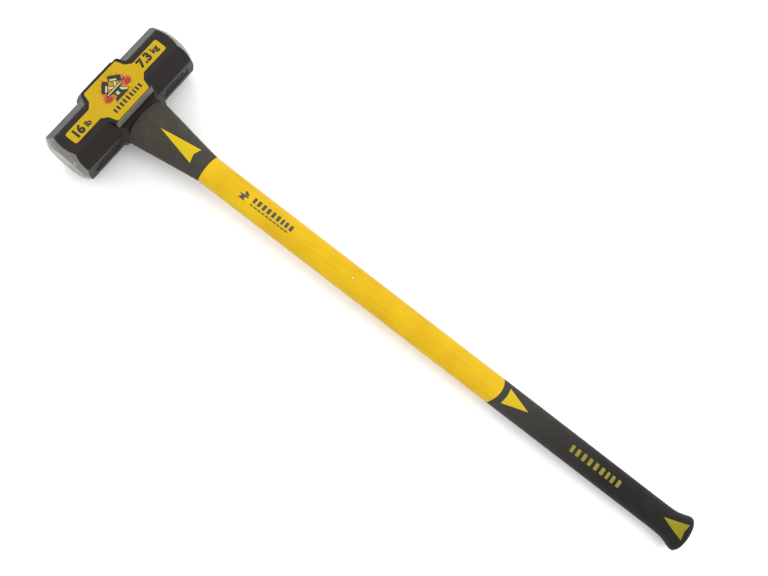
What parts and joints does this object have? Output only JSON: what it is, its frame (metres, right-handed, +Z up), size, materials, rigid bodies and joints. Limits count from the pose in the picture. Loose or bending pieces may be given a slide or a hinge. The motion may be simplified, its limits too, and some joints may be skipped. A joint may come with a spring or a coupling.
{
  "type": "sledgehammer",
  "caption": "Long double-faced sledgehammer with an octagonal painted head, yellow label, yellow jacketed shaft, dark neck guard and flared dark grip.",
  "frame": {"origin": "centre of the footprint of the hammer's bounding box, on the floor it lies on", "axes": "+X from the head to the butt along the handle, +Y along the head to its right-hand striking face, +Z up, out of the labelled cheek"},
  "size_m": [0.9153, 0.202, 0.0734],
  "materials": {
    "head_paint": "satin near-black paint over forged steel, with bare ground steel on both striking ends",
    "core_fibreglass": "pultruded glass-fibre rod, dull",
    "eye_resin": "dark cast epoxy, slightly glossy",
    "jacket_yellow": "satin moulded plastic, warm yellow",
    "arrow_yellow": "satin moulded plastic, slightly green yellow",
    "pin_steel": "bright pin end",
    "guard_rubber": "fine-textured dark grey overmould",
    "grip_rubber": "fine-textured dark grey overmould",
    "label_film": "printed golden vinyl film"
  },
  "bodies": {
    "root": {"head_forging": "head_paint", "core_rod": "core_fibreglass", "eye_resin": "eye_resin", "shaft_jacket": "jacket_yellow", "core_pin": "pin_steel", "neck_guard": "guard_rubber", "grip": "grip_rubber", "head_label": "label_film", "neck_arrow_front": "arrow_yellow", "neck_arrow_back": "arrow_yellow", "grip_arrow_front": "arrow_yellow", "grip_arrow_back": "arrow_yellow", "butt_arrow_front": "arrow_yellow", "butt_arrow_back": "arrow_yellow"}
  },
  "joints": []
}
